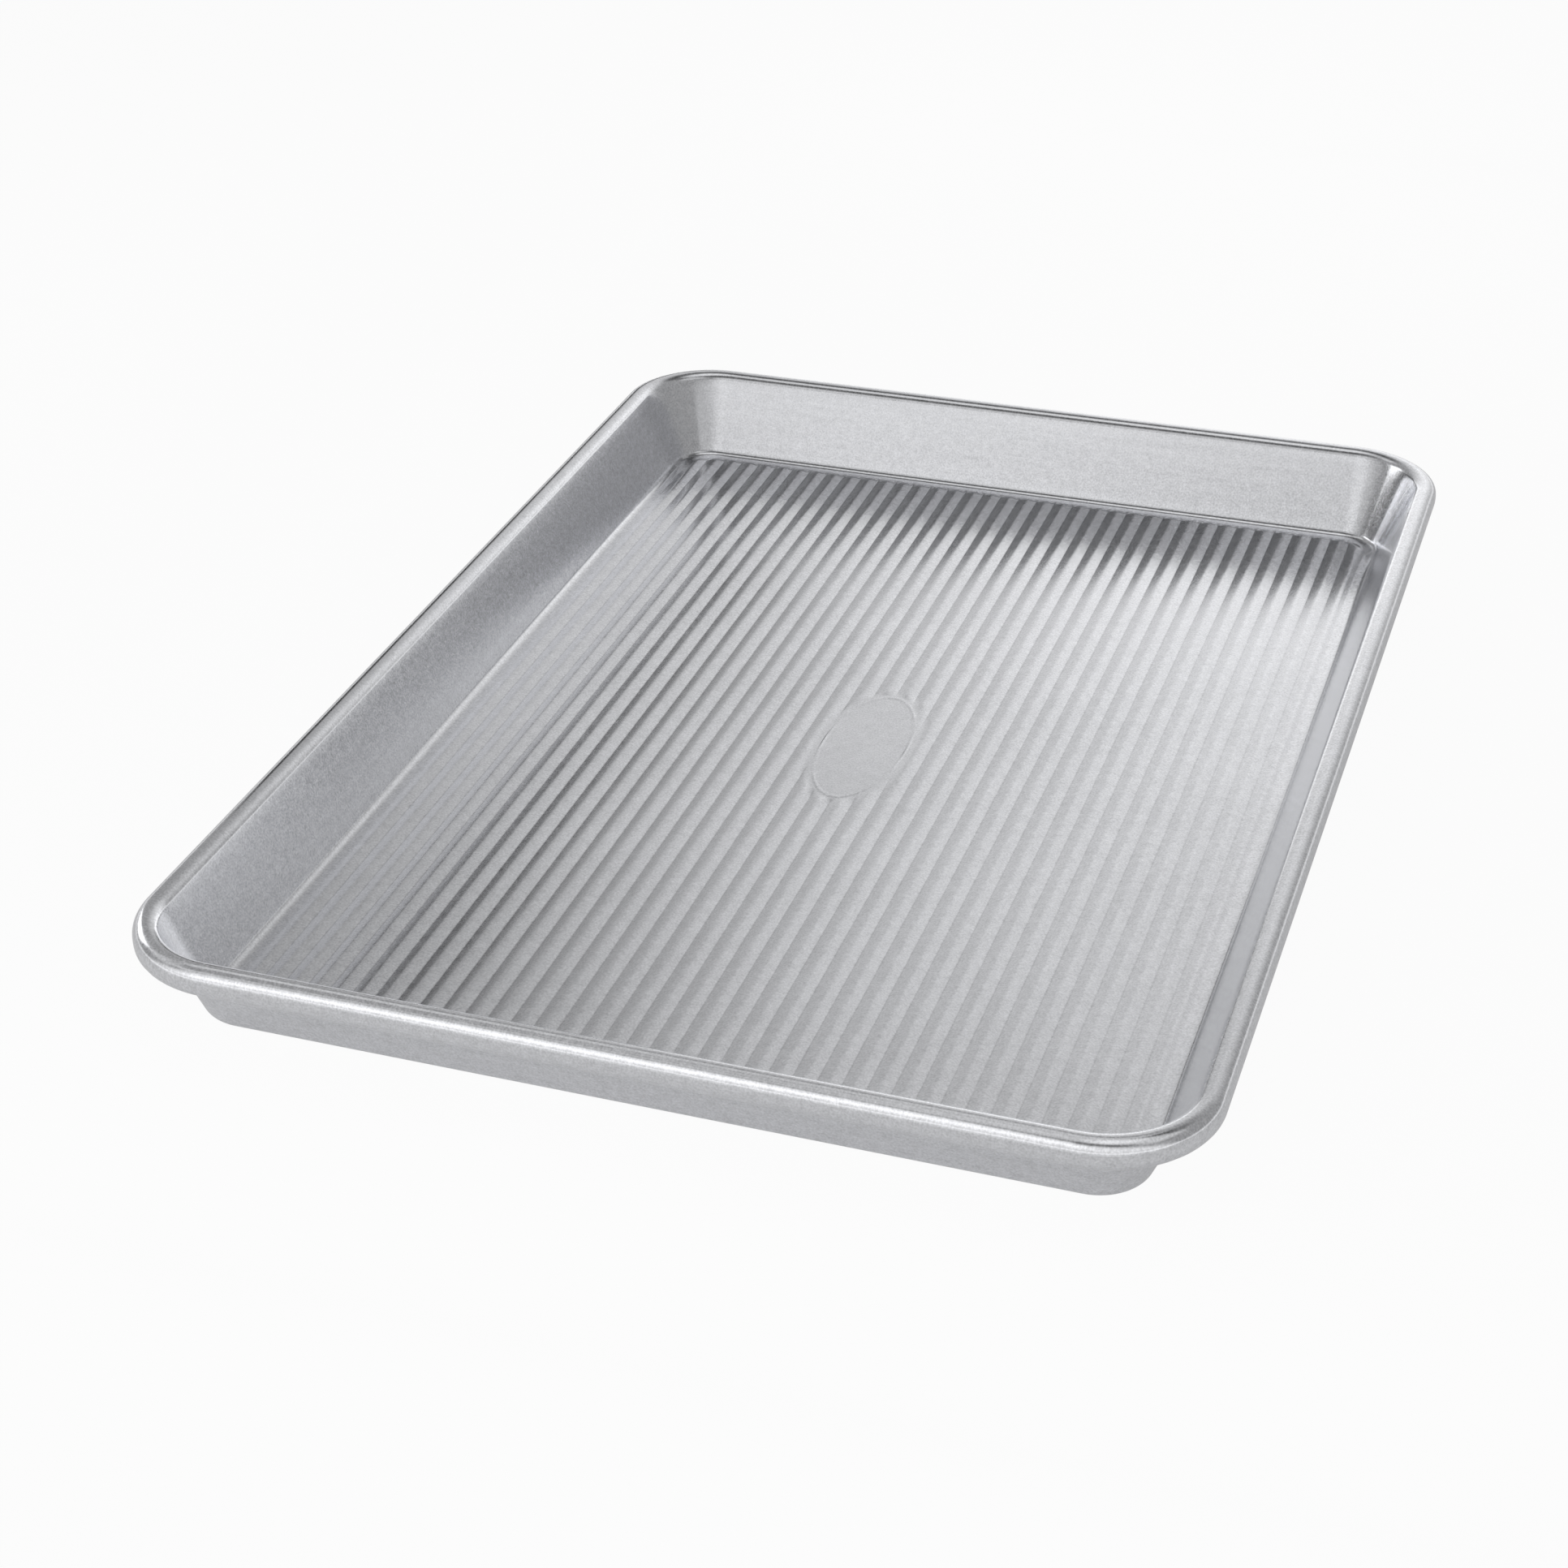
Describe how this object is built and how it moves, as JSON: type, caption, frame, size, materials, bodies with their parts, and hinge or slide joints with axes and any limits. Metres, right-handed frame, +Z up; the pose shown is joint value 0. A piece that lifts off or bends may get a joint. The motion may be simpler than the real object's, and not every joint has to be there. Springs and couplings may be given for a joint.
{
  "type": "jelly roll pan",
  "caption": "Shallow rectangular baking pan of pressed sheet with a ribbed floor, flared walls, round corners and a rim rolled over a steel wire.",
  "frame": {"origin": "middle of the underside, at the height of the surface that the pan rests on", "axes": "+Y along the pan's long side, +X across it, +Z up out of the pan's mouth"},
  "size_m": [0.2604, 0.3874, 0.0254],
  "materials": {
    "pan_sheet": "aluminised steel, satin, with a fine grain and a clear release coat",
    "rim_wire": "plain drawn steel wire"
  },
  "bodies": {
    "root": {"pan_shell": "pan_sheet", "rim_wire": "rim_wire"}
  },
  "joints": []
}
